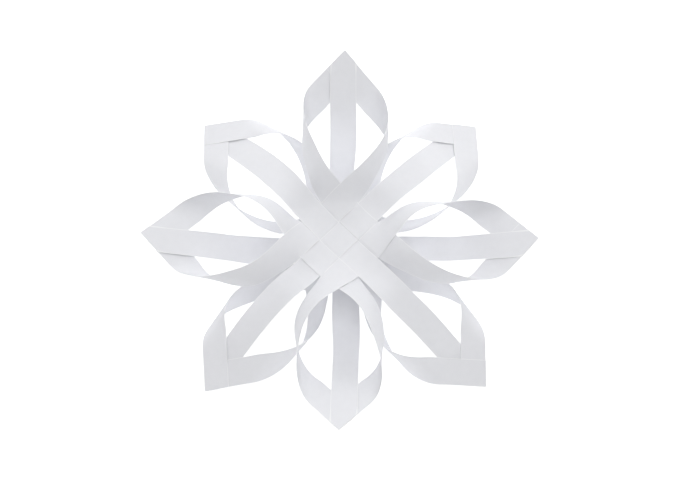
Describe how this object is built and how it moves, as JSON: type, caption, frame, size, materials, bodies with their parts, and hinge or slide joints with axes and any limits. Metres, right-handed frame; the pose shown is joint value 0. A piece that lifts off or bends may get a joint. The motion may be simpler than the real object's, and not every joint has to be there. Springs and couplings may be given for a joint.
{
  "type": "paper star ornament",
  "caption": "Woven paper star: two units of flat strips, back to back, whose ends curl into a ring of open pointed petals glued at their tips.",
  "frame": {"origin": "on the star's axis, at the level of the lowest edges of the back petals", "axes": "+Z along the star's axis out of the front unit, +Y along one front petal, +X along the front petal to its right"},
  "size_m": [0.2186, 0.2186, 0.041],
  "materials": {
    "front_paper": "uncoated white paper, matt, slightly translucent",
    "back_paper": "uncoated white paper, matt, slightly translucent",
    "glue": "dried clear-white craft glue"
  },
  "bodies": {
    "root": {"front_outer_strip_nw": "front_paper", "front_outer_strip_ne": "front_paper", "front_outer_strip_se": "front_paper", "front_outer_strip_sw": "front_paper", "front_middle_strip_rising": "front_paper", "front_middle_strip_falling": "front_paper", "front_tip_glue": "glue", "back_outer_strip_n": "back_paper", "back_outer_strip_e": "back_paper", "back_outer_strip_s": "back_paper", "back_outer_strip_w": "back_paper", "back_middle_strip_level": "back_paper", "back_middle_strip_upright": "back_paper", "back_tip_glue": "glue"}
  },
  "joints": []
}
